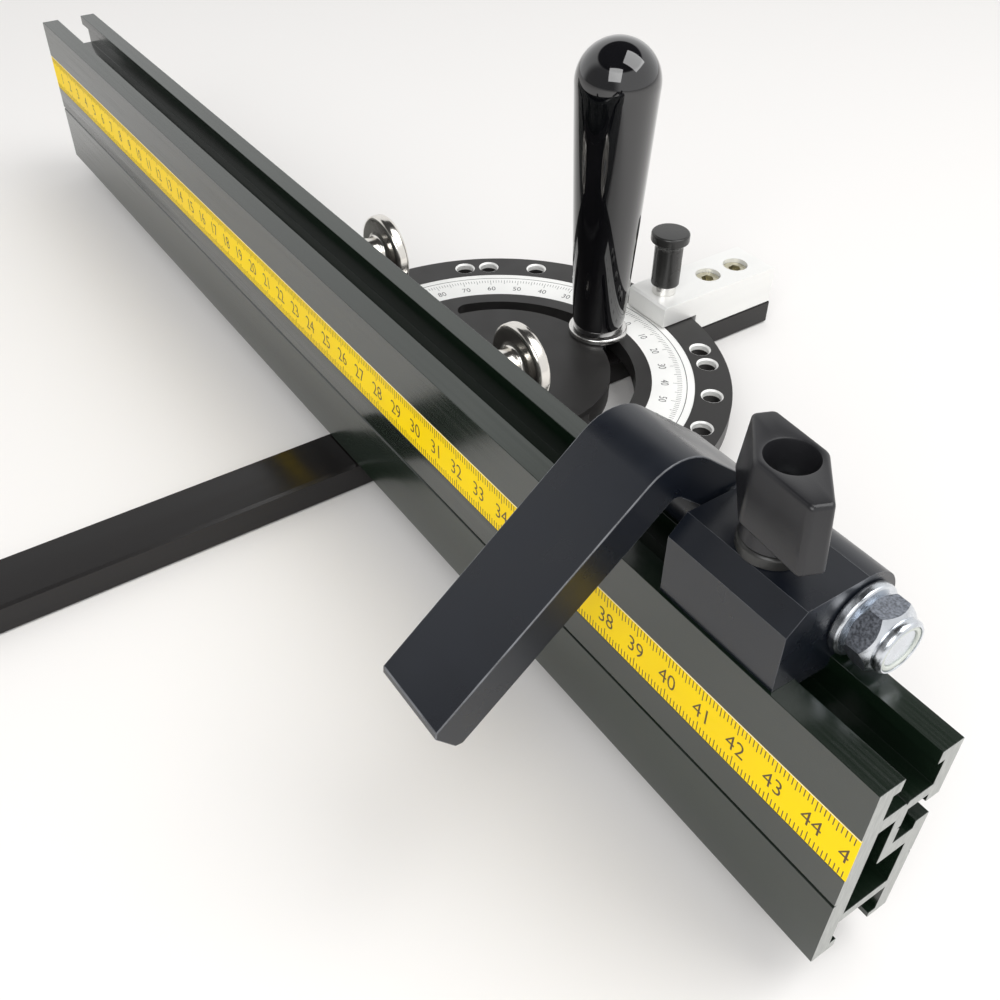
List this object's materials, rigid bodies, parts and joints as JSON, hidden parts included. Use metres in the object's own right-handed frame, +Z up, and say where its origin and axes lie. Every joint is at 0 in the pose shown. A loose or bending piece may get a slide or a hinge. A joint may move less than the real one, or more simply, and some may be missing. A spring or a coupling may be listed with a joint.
{
  "type": "miter gauge",
  "caption": "Table saw miter gauge: a slotted fence with a tape scale and a sliding flip stop, on a protractor head that turns on a flat guide bar, with an index pin and a lock handle.",
  "frame": {"origin": "on the head's pivot axis, at the surface that the guide bar lies on", "axes": "+X along the fence towards the flip stop, +Y along the guide bar to the rear, +Z up"},
  "size_m": [0.45, 0.45, 0.1155],
  "materials": {
    "black_bar": "semi-gloss black oxide",
    "bright_steel": "turned and polished",
    "zinc_steel": "bright zinc plate",
    "raw_aluminium": "machined, bare",
    "black_plastic": "moulded, semi-gloss",
    "handle_black": "moulded, gloss",
    "black_head": "satin black",
    "scale_silver": "satin silver with dark graduation",
    "green_anodised": "gloss anodised, dark green",
    "tape_yellow": "gloss yellow with dark figures",
    "black_anodised": "matt black anodised",
    "white_nylon": "natural nylon",
    "wing_black": "moulded, matt",
    "insert_brass": "turned"
  },
  "bodies": {
    "bar": {"miter_bar": "black_bar", "pivot_screw": "bright_steel", "pivot_washer": "bright_steel", "index_block": "raw_aluminium", "index_block_screws": "zinc_steel", "plunger_sleeve": "bright_steel", "plunger_spring": "bright_steel"},
    "index_plunger": {"plunger_pin": "bright_steel", "plunger_knob": "black_plastic"},
    "handle": {"handle_grip": "handle_black", "handle_stud": "zinc_steel", "handle_washer": "bright_steel"},
    "head": {"protractor_head": "black_head", "scale_ring": "scale_silver", "fence_bolt_left": "zinc_steel", "fence_bolt_right": "zinc_steel"},
    "left_knob": {"fence_knob_left": "bright_steel"},
    "right_knob": {"fence_knob_right": "bright_steel"},
    "fence_rail": {"fence": "green_anodised", "tape_scale": "tape_yellow"},
    "flip_stop": {"stop_block": "black_anodised", "stop_slot_bolt": "zinc_steel", "wing_knob_collar": "black_plastic", "arm_bolt": "zinc_steel", "arm_spacer_washer": "zinc_steel", "arm_nut_washer": "zinc_steel", "arm_lock_nut": "zinc_steel", "lock_nut_insert": "white_nylon"},
    "stop_arm": {"flip_arm": "black_anodised"},
    "stop_knob": {"wing_knob": "wing_black", "wing_knob_insert": "insert_brass"}
  },
  "joints": [
    {"name": "head_turn", "type": "hinge", "parent": "bar", "child": "head", "pos_m": [0, 0, 0.0155], "axis": [0, 0, 1], "range_deg": [-67.5, 67.5]},
    {"name": "handle_turn", "type": "hinge", "parent": "bar", "child": "handle", "pos_m": [0, 0.0395, 0.018], "axis": [0, 0, 1], "range_deg": [0, 180]},
    {"name": "index_pull", "type": "slide", "parent": "bar", "child": "index_plunger", "axis": [0, 0, 1], "range_m": [-0.0032, 0], "deforming": ["plunger_spring"]},
    {"name": "fence_slide", "type": "slide", "parent": "head", "child": "fence_rail", "axis": [1, 0, 0], "range_m": [-0.14, 0.2]},
    {"name": "left_knob_turn", "type": "hinge", "parent": "head", "child": "left_knob", "pos_m": [-0.038, -0.025, 0.0479], "axis": [0, 1, 0], "range_deg": [0, 360]},
    {"name": "right_knob_turn", "type": "hinge", "parent": "head", "child": "right_knob", "pos_m": [0.038, -0.025, 0.0479], "axis": [0, 1, 0], "range_deg": [0, 360]},
    {"name": "stop_slide", "type": "slide", "parent": "fence_rail", "child": "flip_stop", "axis": [1, 0, 0], "range_m": [-0.37, 0.024]},
    {"name": "arm_flip", "type": "hinge", "parent": "flip_stop", "child": "stop_arm", "pos_m": [0.1295, -0.0398, 0.0764], "axis": [1, 0, 0], "range_deg": [-130, 49]},
    {"name": "stop_knob_turn", "type": "hinge", "parent": "flip_stop", "child": "stop_knob", "pos_m": [0.1554, -0.0488, 0.095], "axis": [0, 0, 1], "range_deg": [0, 360]}
  ]
}
